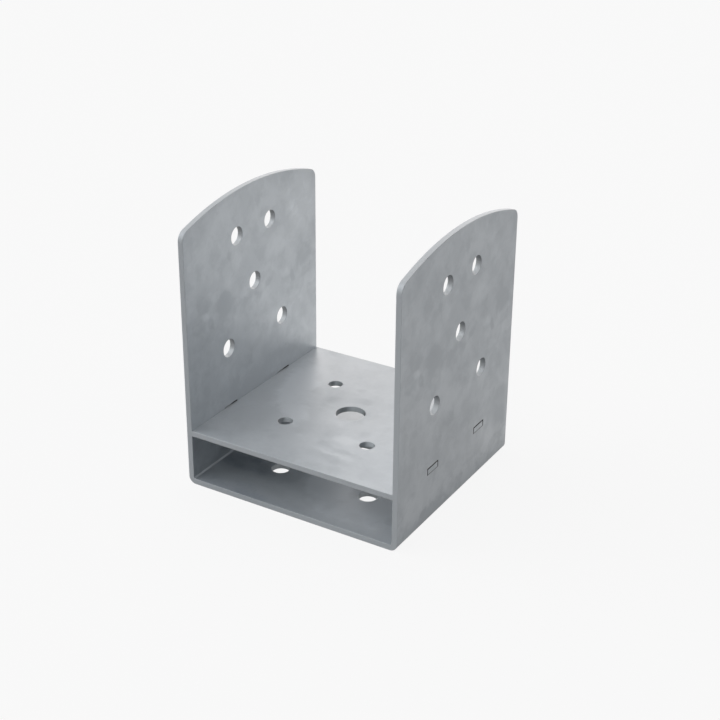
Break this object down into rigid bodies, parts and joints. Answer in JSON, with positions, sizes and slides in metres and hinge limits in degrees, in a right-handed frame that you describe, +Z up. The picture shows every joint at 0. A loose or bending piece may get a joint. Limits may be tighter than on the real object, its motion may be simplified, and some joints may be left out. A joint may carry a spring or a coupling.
{
  "type": "timber post base",
  "caption": "U-shaped galvanised steel base that bolts to concrete and holds the foot of a square timber post between drilled cheeks, raised on a standoff plate.",
  "frame": {"origin": "middle of the underside, the face that lies on the concrete", "axes": "+Z up along the post, +X from one cheek to the other, +Y from the front to the back"},
  "size_m": [0.126, 0.12, 0.15],
  "materials": {
    "galvanised_steel": "galvanised sheet, satin, cloudy grey"
  },
  "bodies": {
    "root": {"u_bracket": "galvanised_steel", "standoff_plate": "galvanised_steel"}
  },
  "joints": []
}
